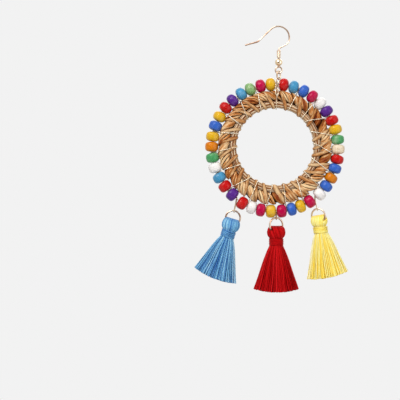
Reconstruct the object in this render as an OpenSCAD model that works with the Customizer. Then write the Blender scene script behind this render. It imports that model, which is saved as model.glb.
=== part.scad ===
// Drop earring: a wire ear hook carries a ring of wound raffia edged with painted wooden beads,
// and three thread tassels hang from the ring's lower edge.
// Millimetres. +X is to the right, +Z is up, the viewer looks along +Y.
// The origin is the inner top of the hook's arc, where it hangs in the ear.

/* [Ear hook] */
// Diameter of the ear wire
ear_wire_d = 0.65; // [0.55:0.05:0.8]
// Radius of the arc that hangs in the ear, at the wire's centre line
hook_arc_r = 4.4; // [3.8:0.1:5.2]
// Length of the slanted stretch behind the ear
hook_tail_l = 6.4; // [4:0.1:8]
// Length of the bent end of the tail
hook_tip_l = 4.4; // [3:0.1:6]
// Height of the fine wire coil on the stem
coil_h = 3.4; // [2:0.1:5]
// Thickness of the coil's wire
coil_wire_d = 0.45; // [0.3:0.05:0.5]
// Diameter of the ball on the stem
hook_ball_d = 3; // [2.6:0.1:3.6]
// Outer diameter of the loop below the ball
hook_loop_d = 3.2; // [3:0.1:3.8]

/* [Links] */
// Outer length of the oval link in the hook's loop
top_link_l = 3.9; // [3.6:0.1:5]
// Outer width of the oval link
top_link_w = 3.1; // [2.8:0.1:3.4]
// Thickness of the oval link's wire
top_link_wire = 0.6; // [0.5:0.05:0.7]
// Turn of the oval link about the upright axis, in degrees
top_link_turn = 54; // [45:1:60]
// Outer width of a chain link
chain_link_w = 1.8; // [1.7:0.05:2]
// Thickness of a chain link's wire
chain_wire = 0.38; // [0.3:0.02:0.4]
// Clearance between links where they hang in each other
link_gap = 0.12; // [0.1:0.01:0.15]
// Play between the hook's loop and the oval link that swings in it
hook_link_play = 0.3; // [0.26:0.01:0.34]
// Height from the oval link down to the ring's upper edge, which the chain spans
ring_drop = 5.2; // [5.15:0.05:5.6]

/* [Raffia ring] */
// Inner radius of the ring
ring_in_r = 15.5; // [14:0.1:18]
// Width of the inner straw bundle
band_w = 2.8; // [2.4:0.1:3.2]
// Depth of the inner straw bundle, front to back
band_t = 3.6; // [3.2:0.1:4.2]
// Width of the outer roll of wound strands
roll_w = 3.8; // [3:0.1:4.2]
// Depth of the outer roll, front to back
roll_t = 4.6; // [4:0.1:5]
// Depth of the furrow between two strands of the roll
furrow_depth = 0.3; // [0.1:0.05:0.45]
// Number of strands wound round the roll
strand_count = 52; // [40:2:90]
// Thickness of a strap that crosses the straw bundle
strap_t = 0.3; // [0.2:0.05:0.4]
// Width of a strap that crosses the straw bundle
strap_w = 1.25; // [0.8:0.05:1.5]

/* [Beads] */
// Diameter of a bead
bead_d = 5.3; // [4.7:0.1:5.6]
// Length of a bead along its bore
bead_l = 3.6; // [3:0.05:3.65]
// Diameter of a bead's bore
bead_bore_d = 1; // [0.8:0.05:1.4]
// Diameter of the wire that the beads are threaded on
bead_wire_d = 0.3; // [0.2:0.02:0.4]
// Clearance between the ring and the beads
bead_seat_gap = 0.1; // [0.1:0.05:0.4]
// Thickness of the lashing wire
lash_wire_d = 0.24; // [0.16:0.02:0.26]

/* [Tassels] */
// Outer diameter of a tassel's jump ring
tassel_ring_d = 6.5; // [5.8:0.1:7]
// Thickness of the jump ring's wire
tassel_ring_wire = 0.7; // [0.5:0.05:0.8]
// Outer width of a connector link
connector_w = 1.9; // [1.8:0.05:2.2]
// Thickness of a connector link's wire
connector_wire = 0.4; // [0.3:0.05:0.45]
// Width of a tassel's head
head_w = 7.5; // [7:0.1:8.5]
// Depth of a tassel's head, front to back
head_t = 6.2; // [5.8:0.1:7]
// Height of a tassel's head
head_h = 5.1; // [4.8:0.1:6.5]
// Diameter of the neck under the binding
neck_d = 5.1; // [4.4:0.1:5.4]
// Height of the binding
binding_h = 3; // [2:0.1:4]
// Thickness of the binding's thread
binding_thread = 0.5; // [0.3:0.05:0.6]
// Length of the skirt's threads below the binding
skirt_l = 18.9; // [14:0.1:24]
// Width of the skirt at its hem
skirt_w = 18.2; // [12:0.1:20]
// Depth of the skirt at its hem
skirt_t = 9.6; // [7:0.1:14]
// Number of locks round a tassel
lock_count = 14; // [10:1:16]

/* [Hidden] */
$fn = 48;
seat_gap = 0.05;
piece_gap = 0.1;
strap_lift = 0.18;
lash_lift = 0.17;
ANGLE = 0;

// Ear hook: each row is one bend of the wire, with radii and lengths as shares of the arc's radius
BEND_R = 0;
BEND_TURN = 1;
BEND_GO = 2;
front_bends = [[1, -90, 0.11], [0.66, -62, 0.57], [0.2, 62, 0]];
tail_bends = [[1, 44, hook_tail_l / hook_arc_r], [0.6, -29, hook_tip_l / hook_arc_r]];
hook_top = [0, ear_wire_d / 2];
front_path = walk(hook_top, 0, front_bends);
tail_path = walk(hook_top, 180, tail_bends);
stem_x = front_path[len(front_path) - 1][0];
coil_top_z = front_path[len(front_path) - 1][1];
coil_pitch = coil_wire_d * 0.92;
coil_turns = floor((coil_h - coil_wire_d) / coil_pitch) + 1;
ball_z = coil_top_z - coil_h - seat_gap - hook_ball_d / 2;
loop_z = ball_z - hook_ball_d / 2 - seat_gap - hook_loop_d / 2;
loop_r = (hook_loop_d - ear_wire_d) / 2;
// The wire is a little thinner where it leaves the ball for its loop
loop_neck_d = 0.9 * ear_wire_d;

// Links: heights of the wires' centre lines
top_link_top_z = loop_z - loop_r + (ear_wire_d + top_link_wire) / 2 + hook_link_play;
top_link_bottom_z = top_link_top_z - (top_link_l - top_link_wire);
top_hang_z = top_link_bottom_z + top_link_wire / 2 + link_gap / 2 + seat_gap;

// Ring
band_out_r = ring_in_r + band_w;
band_mid_r = ring_in_r + band_w / 2;
roll_mid_r = band_out_r + piece_gap + roll_w / 2;
roll_out_r = band_out_r + piece_gap + roll_w;
straw_d = 0.8;
straws_around = 13;
ring_shift = -1.55;
ring_x = stem_x + ring_shift;
ring_z = top_hang_z - ring_drop - roll_out_r;
front_y = -roll_t / 2;

// Chain from the oval link over the ring's upper edge: the points where two links hold each other
chain_points = [
    [stem_x, 0, top_hang_z],
    [stem_x - 0.68, -0.8, top_hang_z - 0.34 * ring_drop],
    [stem_x - 0.9, -2, top_hang_z - 0.64 * ring_drop],
    [stem_x - 0.9, front_y - 0.85, top_hang_z - 0.965 * ring_drop],
    [stem_x - 0.9, front_y - 1.15, top_hang_z - 1.33 * ring_drop]
];
chain_turns = [top_link_turn - 90, 44, -44, 30];

// Beads: each row is one run of beads between two hanging points, with angles clockwise from the top,
// how far the run hangs below the ring's edge at its start and end, as shares of a bead's diameter,
// and the degrees by which the beads at its middle are pushed on
RUN_FIRST = 0;
RUN_LAST = 1;
RUN_COUNT = 2;
RUN_LASHED_FIRST = 3;
RUN_SAG_START = 4;
RUN_SAG_END = 5;
RUN_BOW = 6;
RUN_PUSH = 7;
bead_runs = [
    [8.2, 136.6, 15, 0, 0.01, 0.2, 3, 2],
    [147.6, 174, 4, 1, 0.18, 0.17, 1, 0],
    [183.6, 210, 4, 1, 0.17, 0.21, 1, 0],
    [221.7, 356, 15, 1, 0.12, 0, 0.6, 0]
];
bead_colours = [
    "red", "sky", "blue", "pink", "white", "purple", "red", "yellow", "green", "cream",
    "red", "blue", "orange", "blue", "white", "pink", "yellow", "blue", "pink",
    "yellow", "pink", "white", "red", "purple", "red", "sky", "white", "green",
    "orange", "yellow", "blue", "yellow", "red", "purple", "sky", "lime", "pink", "yellow"
];
paint = [
    ["red", "#c0161c"], ["sky", "#4a9bd0"], ["blue", "#2f5fc0"], ["pink", "#d01470"], ["white", "#f0ecea"],
    ["purple", "#552a86"], ["yellow", "#ecc032"], ["green", "#3c9a5c"], ["cream", "#e8d8ba"],
    ["orange", "#e27c1a"], ["lime", "#7cb86c"]
];
bead_pitch_r = roll_out_r + bead_seat_gap + bead_d / 2;
pair_gap = 0.12;
lash_gap = lash_wire_d + 2 * 0.09;
lash_extra = (lash_gap - pair_gap) / bead_pitch_r * 180 / PI;
beads = [for (run = bead_runs) for (i = [0:run[RUN_COUNT] - 1]) bead_place(run, i)];
bead_count = len(beads);

// Wire lashings: how far each one leans over the front, in degrees, in order from the first run's first one
lash_angles = concat(
    [for (i = [0:bead_count - 1]) if (is_lashed_after(i)) (beads[i][ANGLE] + beads[i + 1][ANGLE]) / 2],
    [360 + asin((chain_points[len(chain_points) - 1][0] - ring_x) / roll_mid_r)]
);
lash_leans = [-2, 1.5, -10, -11, -11, -6.5, -1.5, -5.5, -2, -4, 1.5, -8, -3, 4, 5, -1.5, -6.5, -2.5, 0];

// Straps over the straw bundle: angle clockwise from the top where each one reaches the inner edge
strap_angles = [
    16, 37, 57, 81, 93, 103, 118, 129, 141, 155, 167, 181, 197,
    209, 222, 235, 245, 257, 270, 283, 296, 309, 322, 335, 347, 358
];
strap_slant = -5;

// Stops round the two sections, in degrees: a strap's on the band, and a lashing's on the roll and the band
STRAP_STOPS = [28, 60, 92, 122, 150, 180, 210, 238, 268, 300, 332];
ROLL_FRONT_STOPS = [22, 52, 82, 112, 138];
BAND_STOPS = [75, 110, 145, 180, 215, 250, 285];
ROLL_BACK_STOPS = [222, 248, 278, 308, 338];

// Tassels: each row is one tassel with its connector link, from left to right, with its skirt and its head
// as shares of the usual sizes, and how far its head rises in its ring, as a share of the ring
HANG_GAP = 0;
HANG_LINK_L = 1;
HANG_LEAN = 2;
HANG_TILT = 3;
HANG_TURN = 4;
HANG_RING_TURN = 5;
HANG_SKIRT_L = 6;
HANG_SKIRT_W = 7;
HANG_HEAD = 8;
HANG_RISE = 9;
hangers = [
    [216.3, 6.5, -11, -17, 6, 0, 0.94, 1, 1, 0],
    [178.8, 4.2, 0, 0, 8, 24, 1, 1, 1, 0],
    [142, 6.05, 11, 9, -3, -28, 0.99, 0.93, 0.91, 0.09]
];
tassel_ring_r = (tassel_ring_d - tassel_ring_wire) / 2;
head_top = -0.02 * tassel_ring_d;
tassel_columns = 2 * lock_count;

// Sections of a tassel's head: depth below its top, half width, half depth, as shares of the head's sizes
head_sections = [[0.02, 0.62, 0.42], [0.1, 0.8, 0.68], [0.25, 0.93, 0.9], [0.5, 1, 1], [0.78, 0.94, 0.97]];
// Sections of the skirt: share of its length, share of its flare, depth of the furrows between locks
skirt_sections = [
    [0.05, 0.08, 0.03], [0.16, 0.21, 0.05], [0.36, 0.41, 0.07],
    [0.6, 0.63, 0.09], [0.82, 0.83, 0.11], [1, 1, 0.13]
];

// Points along a bend of turn degrees (left is positive) that starts at p with a heading
function bend(p, heading, r, turn) =
    let (side = sign(turn), c = p + r * [cos(heading + 90 * side), sin(heading + 90 * side)])
    let (steps = max(3, ceil(abs(turn) / 9)))
    [for (i = [1:steps]) let (a = heading - 90 * side + turn * i / steps) c + r * [cos(a), sin(a)]];

// Points along a wire bent row by row
function walk(p, heading, rows, i = 0) =
    i == len(rows) ? [] :
    let (row = rows[i], arc = bend(p, heading, row[BEND_R] * hook_arc_r, row[BEND_TURN]))
    let (out = heading + row[BEND_TURN], go = row[BEND_GO] * hook_arc_r)
    let (end = arc[len(arc) - 1], next = end + go * [cos(out), sin(out)])
    concat(arc, go > 0 ? [next] : [], walk(next, out, rows, i + 1));

function unit(v) = v / norm(v);

// Angle clockwise from the top and radius of bead i of a run
function bead_place(run, i) =
    let (gaps = run[RUN_COUNT] - 1, span = run[RUN_LAST] - run[RUN_FIRST])
    let (first = run[RUN_LASHED_FIRST], lashed = floor((gaps + first) / 2))
    let (pair = (span - lashed * lash_extra) / gaps)
    let (even = run[RUN_FIRST] + i * pair + floor((i + first) / 2) * lash_extra)
    let (angle = even + run[RUN_PUSH] * sin(180 * i / gaps))
    let (share = pow(i / gaps, run[RUN_BOW]))
    let (sag = run[RUN_SAG_START] + share * (run[RUN_SAG_END] - run[RUN_SAG_START]))
    [angle, bead_pitch_r + sag * bead_d];

// Beads are tied in pairs, so a lashing follows every second bead
function is_lashed_after(i) = i % 2 == 1 && i < bead_count - 1;

// Radius of the bead wire at an angle
function wire_r(angle) =
    let (a = (angle % 360 + 360) % 360)
    let (after = [for (i = [0:bead_count - 1]) if (beads[i][ANGLE] >= a) i])
    let (j = len(after) == 0 ? 0 : after[0], i = (j + bead_count - 1) % bead_count)
    let (start = beads[i][ANGLE] - (i > j && a < beads[j][ANGLE] ? 360 : 0))
    let (end = beads[j][ANGLE] + (len(after) == 0 ? 360 : 0))
    beads[i][1] + (beads[j][1] - beads[i][1]) * (a - start) / (end - start);

// Point of the ring's frame: angle clockwise from the top, radius, and depth
function on_ring(angle, r, y) = [ring_x + r * sin(angle), y, ring_z + r * cos(angle)];

// Points of the two sections, pushed out by an offset: u is 0 at the outer edge and 90 in front
function on_roll(u, off) = [roll_mid_r + (roll_w / 2 + off) * cos(u), -(roll_t / 2 + off) * sin(u)];
function on_band(u, off) =
    let (r = band_w / 2 + off)
    [band_mid_r + r * cos(u), -sign(sin(u)) * (band_t - band_w) / 2 - r * sin(u)];

// Mesh of a round wire through points, as [points, faces], with ref as the direction across its sections
function wire_mesh(points, d, sides, ref, closed = false) =
    let (n = len(points), last = closed ? n - 1 : n - 2)
    let (ahead = [for (i = [0:n - 1]) closed ? points[(i + 1) % n] : points[min(i + 1, n - 1)]])
    let (behind = [for (i = [0:n - 1]) closed ? points[(i + n - 1) % n] : points[max(i - 1, 0)]])
    let (rings = [for (i = [0:n - 1])
        let (t = unit(ahead[i] - behind[i]), u = unit(cross(t, ref)), v = cross(u, t))
        for (k = [0:sides - 1]) points[i] + d / 2 * (cos(360 * k / sides) * u + sin(360 * k / sides) * v)])
    let (walls = [for (i = [0:last]) for (k = [0:sides - 1])
        let (a = i * sides + k, b = i * sides + (k + 1) % sides)
        let (c = ((i + 1) % n) * sides + (k + 1) % sides, e = ((i + 1) % n) * sides + k)
        each [[a, b, c], [a, c, e]]])
    let (foot = [for (k = [sides - 1:-1:0]) k], end = [for (k = [0:sides - 1]) (n - 1) * sides + k])
    let (caps = closed ? [] : [foot, end])
    [rings, concat(walls, caps)];

// Where each mesh of a list starts among the points of all of them
function starts(meshes, i = 0, at = 0) =
    i == len(meshes) ? [] : concat([at], starts(meshes, i + 1, at + len(meshes[i][0])));

// Loose solids from a list of meshes
module solids(meshes) {
    first = starts(meshes);
    polyhedron(
        points = [for (m = meshes) each m[0]],
        faces = [for (i = [0:len(meshes) - 1]) for (f = meshes[i][1]) [for (v = f) v + first[i]]]
    );
}

// A closed oval link in the X-Z plane, by its outer sizes
module oval(length, width, wire_d) {
    r = (width - wire_d) / 2;
    half = (length - width) / 2;
    rotate([90, 0, 0]) {
        for (side = [0, 180]) rotate(side) translate([0, half]) rotate_extrude(angle = 180)
            translate([r, 0]) circle(d = wire_d);
        for (x = [-r, r]) translate([x, 0, 0]) rotate([90, 0, 0])
            cylinder(d = wire_d, h = 2 * half, center = true);
    }
}

// A round ring of wire in the X-Z plane, by its outer diameter
module hoop(outer_d, wire_d) {
    rotate([90, 0, 0]) rotate_extrude() translate([(outer_d - wire_d) / 2, 0]) circle(d = wire_d);
}

module ear_wire() {
    upper = concat([for (i = [len(tail_path) - 1:-1:0]) tail_path[i]], [hook_top], front_path);
    stem_end = [stem_x, ball_z - hook_ball_d / 2];
    path = [for (p = concat(upper, [stem_end])) [p[0], 0, p[1]]];
    color("#e8c9a0") {
        solids([wire_mesh(path, ear_wire_d, 8, [0, 1, 0])]);
        translate([stem_x, 0, loop_z]) hoop(hook_loop_d, ear_wire_d);
        translate([stem_x, 0, loop_z + loop_r])
            cylinder(d = loop_neck_d, h = ball_z - loop_z - loop_r - hook_ball_d / 4);
    }
}

module hook_coil() {
    color("#d8b98e") translate([stem_x, 0, coil_top_z - coil_wire_d / 2]) rotate_extrude()
        for (i = [0:coil_turns - 1])
            translate([(ear_wire_d + coil_wire_d) / 2 + seat_gap, -i * coil_pitch]) circle(d = coil_wire_d);
}

module hook_ball() {
    color("#e8c9a0") translate([stem_x, 0, ball_z]) difference() {
        sphere(d = hook_ball_d);
        cylinder(d = ear_wire_d + 2 * seat_gap, h = 2 * hook_ball_d, center = true);
    }
}

module top_link() {
    color("#e8c9a0") translate([stem_x, 0, (top_link_top_z + top_link_bottom_z) / 2])
        rotate(top_link_turn) oval(top_link_l, top_link_w, top_link_wire);
}

// Mesh of a chain link that holds the next one at each of two points, turned about its length
function chain_link(upper, lower, turn) =
    let (along = unit(upper - lower), side = unit(cross([0, 1, 0], along)), out = cross(along, side))
    let (across = cos(turn) * side + sin(turn) * out, r = (chain_link_w - chain_wire) / 2)
    let (half = norm(upper - lower) / 2 + (chain_wire + link_gap) / 2 - r, steps = 6)
    let (oval = [for (end = [0, 1]) for (i = [0:steps])
        let (a = 180 * (end + i / steps)) [r * cos(a), r * sin(a) + (end == 0 ? half : -half)]])
    wire_mesh([for (p = oval) (upper + lower) / 2 + p[0] * across + p[1] * along], chain_wire, 6,
        cross(across, along), closed = true);

module top_chain() {
    color("#d8c4a4") solids([for (i = [0:len(chain_points) - 2])
        chain_link(chain_points[i], chain_points[i + 1], chain_turns[i])]);
}

module straw_band() {
    color("#e0c090") translate([ring_x, 0, ring_z]) rotate([90, 0, 0]) rotate_extrude($fn = 96) {
        translate([band_mid_r, 0]) square([band_w - straw_d, band_t - straw_d], center = true);
        for (i = [0:straws_around - 1]) {
            spot = on_band(360 * (i + 0.5) / straws_around, -straw_d / 2);
            translate([spot[0], spot[1]]) circle(d = straw_d);
        }
    }
}

module raffia_roll() {
    rings = 2 * strand_count;
    around = 10;
    slant = 11;
    points = [for (i = [0:rings - 1]) for (k = [0:around - 1])
        let (u = 360 * k / around, off = i % 2 == 0 ? 0 : -furrow_depth, p = on_roll(u, off))
        let (angle = 360 * i / rings + slant * (roll_out_r - p[0]) / roll_w)
        on_ring(angle, p[0], p[1])];
    faces = [for (i = [0:rings - 1]) for (k = [0:around - 1])
        let (a = i * around + k, b = i * around + (k + 1) % around)
        let (c = ((i + 1) % rings) * around + (k + 1) % around, e = ((i + 1) % rings) * around + k)
        each [[a, c, b], [a, e, c]]];
    color("#c98f55") polyhedron(points = points, faces = faces);
}

// Mesh of a flat strap from furrow to furrow round the inner edge of the straw bundle
function strap(angle) =
    let (low = strap_lift, high = strap_lift + strap_t, turn = strap_w / 2 / band_mid_r * 180 / PI)
    let (stops = STRAP_STOPS)
    let (points = [for (u = stops) let (inner = on_band(u, low), outer = on_band(u, high))
        let (a = angle + strap_slant * (1 + cos(u)) / 2)
        each [on_ring(a - turn, inner[0], inner[1]), on_ring(a + turn, inner[0], inner[1]),
            on_ring(a + turn * 0.8, outer[0], outer[1]), on_ring(a - turn * 0.8, outer[0], outer[1])]])
    let (walls = [for (i = [0:len(stops) - 2]) for (k = [0:3])
        let (a = 4 * i + k, b = 4 * i + (k + 1) % 4)
        each [[a, b + 4, b], [a, a + 4, b + 4]]])
    let (end = 4 * (len(stops) - 1))
    [points, concat(walls, [[0, 1, 2, 3], [end + 3, end + 2, end + 1, end]])];

module raffia_straps() {
    color("#d8a870") solids([for (angle = strap_angles) strap(angle)]);
}

module bead(i) {
    flat = (bead_d - bead_l) / 2;
    name = bead_colours[i % len(bead_colours)];
    color(paint[search([name], paint)[0]][1]) translate([ring_x, 0, ring_z]) rotate([0, beads[i][ANGLE], 0])
        translate([0, 0, beads[i][1]]) rotate([0, 90, 0]) rotate_extrude() difference() {
            union() {
                translate([flat, 0]) circle(d = bead_l);
                translate([0, -bead_l / 2]) square([flat, bead_l]);
            }
            translate([-bead_d, -bead_l]) square([bead_d + bead_bore_d / 2, 2 * bead_l]);
        }
}

module bead_wire() {
    points = [for (i = [0:bead_count - 1])
        let (next = (i + 1) % bead_count, a = beads[i][ANGLE])
        let (b = beads[next][ANGLE] + (next == 0 ? 360 : 0))
        each [on_ring(a, beads[i][1], 0), on_ring((a + b) / 2, (beads[i][1] + beads[next][1]) / 2, 0)]];
    color("#dcc8a0") solids([wire_mesh(points, bead_wire_d, 5, [0, 1, 0], closed = true)]);
}

// Where the top lashing passes through the chain's last link and over its lower end: radius and depth
function chain_hold(off) =
    let (last = chain_points[len(chain_points) - 1])
    let (r = last[2] - ring_z - (chain_wire + link_gap) / 2, y = last[1])
    [[r + 0.85, y + 0.15], [r, y - chain_wire / 2 - off - seat_gap], [r - 0.85, y + 0.25]];

// Mesh of a wire tied round the ring and the bead wire; the top one also holds the chain's last link
function lashing(angle, lean, holds_chain) =
    let (off = lash_wire_d / 2 + lash_lift, over = strap_lift + strap_t + off)
    let (out_r = wire_r(angle), reach = bead_wire_d / 2 + off, span = roll_out_r - ring_in_r)
    let (first = ROLL_FRONT_STOPS[0], last = ROLL_FRONT_STOPS[len(ROLL_FRONT_STOPS) - 1])
    let (front = holds_chain ? concat([on_roll(first, off)], chain_hold(off), [on_roll(last, off)]) :
        [for (u = ROLL_FRONT_STOPS) on_roll(u, off)])
    let (section = concat(
        [[out_r + reach, 0], [out_r, -reach]],
        front,
        [for (u = BAND_STOPS) on_band(u, over)],
        [for (u = ROLL_BACK_STOPS) on_roll(u, off)],
        [[out_r, reach]]
    ))
    let (points = [for (p = section) on_ring(angle + lean * max(0, roll_out_r - p[0]) / span, p[0], p[1])])
    wire_mesh(points, lash_wire_d, 5, [cos(angle), 0, -sin(angle)], closed = true);

module wire_lashings() {
    color("#e4d8bc") solids([for (i = [0:len(lash_angles) - 1])
        lashing(lash_angles[i], lash_leans[i], i == len(lash_angles) - 1)]);
}

// Middle of the connector's upper wire, and middle of the jump ring below it
function hang_point(h) = on_ring(h[HANG_GAP], wire_r(h[HANG_GAP]), 0);
connector_top = (connector_wire + bead_wire_d) / 2 + link_gap + seat_gap;
function ring_below(h) =
    h[HANG_LINK_L] - 1.5 * connector_wire - connector_top - link_gap - tassel_ring_wire / 2 + tassel_ring_r;

module connector(h) {
    color("#e8c9a0") translate(hang_point(h)) rotate([0, -h[HANG_LEAN], 0])
        translate([0, 0, connector_top + connector_wire / 2 - h[HANG_LINK_L] / 2])
            rotate(90 + h[HANG_TURN]) oval(h[HANG_LINK_L], connector_w, connector_wire);
}

// Frame of a tassel: the middle of its jump ring, tilted as it hangs
module at_tassel(h) {
    translate(hang_point(h)) rotate([0, -h[HANG_LEAN], 0]) translate([0, 0, -ring_below(h)])
        rotate([0, h[HANG_LEAN] - h[HANG_TILT], 0]) children();
}

module tassel_ring(h) {
    color("#e8c9a0") at_tassel(h) rotate(h[HANG_RING_TURN]) hoop(tassel_ring_d, tassel_ring_wire);
}

// Height of a lock's point, share t down a skirt: its threads are equally long, so the fan's edges rise
function skirt_z(t, flare, phi, long, wide) =
    let (side = flare * norm([(wide - neck_d) / 2 * cos(phi), (skirt_t - neck_d) / 2 * sin(phi)]))
    -sqrt(pow(t * long, 2) - side * side);

// Heights of a tassel's top and of the neck under its head
function crown_z(h) = head_top + h[HANG_RISE] * tassel_ring_d;
function neck_z(h) = crown_z(h) - head_h * h[HANG_HEAD];

module tassel(h, shade) {
    size = h[HANG_HEAD];
    skirt_top = neck_z(h) - binding_h * size;
    long = skirt_l * h[HANG_SKIRT_L];
    wide = skirt_w * h[HANG_SKIRT_W];
    phis = [for (k = [0:tassel_columns - 1]) 360 * k / tassel_columns];
    head_rows = [for (s = head_sections) [for (phi = phis)
        [head_w / 2 * size * s[1] * cos(phi), head_t / 2 * size * s[2] * sin(phi),
            crown_z(h) - s[0] * head_h * size]]];
    neck_rows = [for (z = [neck_z(h), skirt_top]) [for (phi = phis)
        [neck_d / 2 * cos(phi), neck_d / 2 * sin(phi), z]]];
    skirt_rows = [for (s = skirt_sections) [for (k = [0:tassel_columns - 1])
        let (phi = phis[k], furrow = k % 2 == 0 ? 1 : 1 - s[2])
        let (x = neck_d / 2 + s[1] * (wide - neck_d) / 2, y = neck_d / 2 + s[1] * (skirt_t - neck_d) / 2)
        [x * furrow * cos(phi), y * furrow * sin(phi),
            skirt_top + skirt_z(s[0], s[1], phi, long, wide) * (k % 2 == 0 ? 1 : 1 - s[2] / 4)]]];
    rows = concat(head_rows, neck_rows, skirt_rows);
    count = len(rows);
    crown = [0, 0, crown_z(h)];
    under = [0, 0, skirt_top - 0.93 * long];
    points = concat([crown], [for (row = rows) each row], [under]);
    top_fan = [for (k = [0:tassel_columns - 1]) [0, 1 + (k + 1) % tassel_columns, 1 + k]];
    walls = [for (i = [0:count - 2]) for (k = [0:tassel_columns - 1])
        let (a = 1 + i * tassel_columns + k, b = 1 + i * tassel_columns + (k + 1) % tassel_columns)
        each [[a, b, b + tassel_columns], [a, b + tassel_columns, a + tassel_columns]]];
    foot = 1 + (count - 1) * tassel_columns;
    hem_fan = [for (k = [0:tassel_columns - 1])
        [len(points) - 1, foot + k, foot + (k + 1) % tassel_columns]];
    color(shade) at_tassel(h) difference() {
        polyhedron(points = points, faces = concat(top_fan, walls, hem_fan));
        rotate(h[HANG_RING_TURN]) hoop(tassel_ring_d + 2 * piece_gap, tassel_ring_wire + 2 * piece_gap);
    }
}

module binding(h, shade) {
    high = binding_h * h[HANG_HEAD];
    turns = floor(high / (binding_thread * 0.9));
    pitch = (high - 2 * piece_gap - binding_thread) / (turns - 1);
    first_z = neck_z(h) - piece_gap - binding_thread / 2;
    color(shade) at_tassel(h) translate([0, 0, first_z]) rotate_extrude()
        for (i = [0:turns - 1])
            translate([neck_d / 2 + piece_gap + binding_thread / 2, -i * pitch]) circle(d = binding_thread);
}

ear_wire();
hook_coil();
hook_ball();
top_link();
top_chain();
straw_band();
raffia_roll();
raffia_straps();
bead_wire();
wire_lashings();
for (i = [0:bead_count - 1]) {
    name = str("bead_", i < 9 ? "0" : "", i + 1);
    bead(i);
}
connector(hangers[0]);  // blue_connector
tassel_ring(hangers[0]);  // blue_ring
tassel(hangers[0], "#5a9fd0");  // blue_tassel
binding(hangers[0], "#4a8cc0");  // blue_binding
connector(hangers[1]);  // red_connector
tassel_ring(hangers[1]);  // red_ring
tassel(hangers[1], "#c41820");  // red_tassel
binding(hangers[1], "#a81018");  // red_binding
connector(hangers[2]);  // yellow_connector
tassel_ring(hangers[2]);  // yellow_ring
tassel(hangers[2], "#f0d870");  // yellow_tassel
binding(hangers[2], "#e0c050");  // yellow_binding
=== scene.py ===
"""Looks of a drop earring: raffia ring with painted wooden beads and three thread tassels."""
import math
from math import cos, pi, sin

import bpy
import numpy as np
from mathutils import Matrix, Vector
from mathutils.bvhtree import BVHTree


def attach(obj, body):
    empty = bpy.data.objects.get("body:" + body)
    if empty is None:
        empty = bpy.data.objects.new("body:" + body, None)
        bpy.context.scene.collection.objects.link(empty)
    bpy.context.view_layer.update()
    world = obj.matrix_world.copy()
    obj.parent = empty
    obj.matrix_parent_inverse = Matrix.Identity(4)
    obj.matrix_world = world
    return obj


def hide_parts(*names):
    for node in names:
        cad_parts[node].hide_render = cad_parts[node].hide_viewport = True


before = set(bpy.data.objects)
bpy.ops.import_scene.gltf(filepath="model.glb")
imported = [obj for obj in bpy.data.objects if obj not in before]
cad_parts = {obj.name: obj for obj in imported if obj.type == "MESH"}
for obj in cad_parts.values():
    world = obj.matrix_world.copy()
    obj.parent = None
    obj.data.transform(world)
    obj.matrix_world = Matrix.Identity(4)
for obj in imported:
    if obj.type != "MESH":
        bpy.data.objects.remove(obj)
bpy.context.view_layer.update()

MM = 0.001
Y_AXIS = (0, 1, 0)
CHANCE = np.random.RandomState(7)
between = CHANCE.uniform

# ---------- sizes, in millimetres, as in the CAD ----------
EAR_WIRE_D = 0.65
HOOK_ARC_R = 4.4
# Bends of the hook's wire from the arc's top: radius as a share of the arc's, turn, and the straight stretch after it
FRONT_BENDS = [(1, -90, 0.11), (0.66, -62, 0.57), (0.2, 62, 0)]
TAIL_BENDS = [(1, 44, 6.4 / HOOK_ARC_R), (0.6, -29, 1)]
STEM_X = 0.178
COIL_TOP_Z, COIL_H, COIL_WIRE_D, COIL_PITCH = -9.0775, 3.4, 0.45, 0.414
BALL_Z, BALL_D = -14.0275, 3
LOOP_Z, LOOP_D = -17.1775, 3.2
TOP_LINK_Z, TOP_LINK_L, TOP_LINK_W, TOP_LINK_WIRE, TOP_LINK_TURN = -19.1775, 3.9, 3.1, 0.6, 54
TOP_HANG_Z, RING_DROP = -20.4175, 5.2
CHAIN_LINK_W, CHAIN_WIRE, LINK_GAP, SEAT_GAP = 1.8, 0.38, 0.12, 0.05
RING_X, RING_Z = -1.372, -47.8175
RING_IN_R, BAND_W, BAND_T = 15.5, 2.8, 3.6
ROLL_W, ROLL_T = 3.8, 4.6
BAND_MID_R = RING_IN_R + BAND_W / 2
ROLL_MID_R = RING_IN_R + BAND_W + 0.1 + ROLL_W / 2
ROLL_OUT_R = ROLL_MID_R + ROLL_W / 2
BEAD_D, BEAD_L, BEAD_BORE_D, BEAD_WIRE_D = 5.3, 3.6, 1.0, 0.3
BEAD_PITCH_R = ROLL_OUT_R + 0.1 + BEAD_D / 2
BEAD_SHOWN_L = 4.04
PAIR_GAP, LASH_GAP = 0.12, 0.42
TASSEL_RING_D, TASSEL_RING_WIRE = 6.5, 0.7
JUMP_R = (TASSEL_RING_D - TASSEL_RING_WIRE) / 2
CONNECTOR_W, CONNECTOR_WIRE = 1.9, 0.4
HEAD_W, HEAD_T, HEAD_H = 7.5, 6.2, 5.1
NECK_D, BINDING_H = 5.1, 3.0
SKIRT_L, SKIRT_W, SKIRT_T = 18.9, 18.2, 9.6
HEAD_TOP = -0.02 * TASSEL_RING_D
FRONT_Y = -ROLL_T / 2

CHAIN_POINTS = [
    (STEM_X, 0, TOP_HANG_Z),
    (STEM_X - 0.68, -0.8, TOP_HANG_Z - 0.34 * RING_DROP),
    (STEM_X - 0.9, -2, TOP_HANG_Z - 0.64 * RING_DROP),
    (STEM_X - 0.9, FRONT_Y - 0.85, TOP_HANG_Z - 0.965 * RING_DROP),
    (STEM_X - 0.9, FRONT_Y - 1.15, TOP_HANG_Z - 1.33 * RING_DROP),
]
CHAIN_TURNS = [TOP_LINK_TURN - 90, 44, -44, 30]

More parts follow.
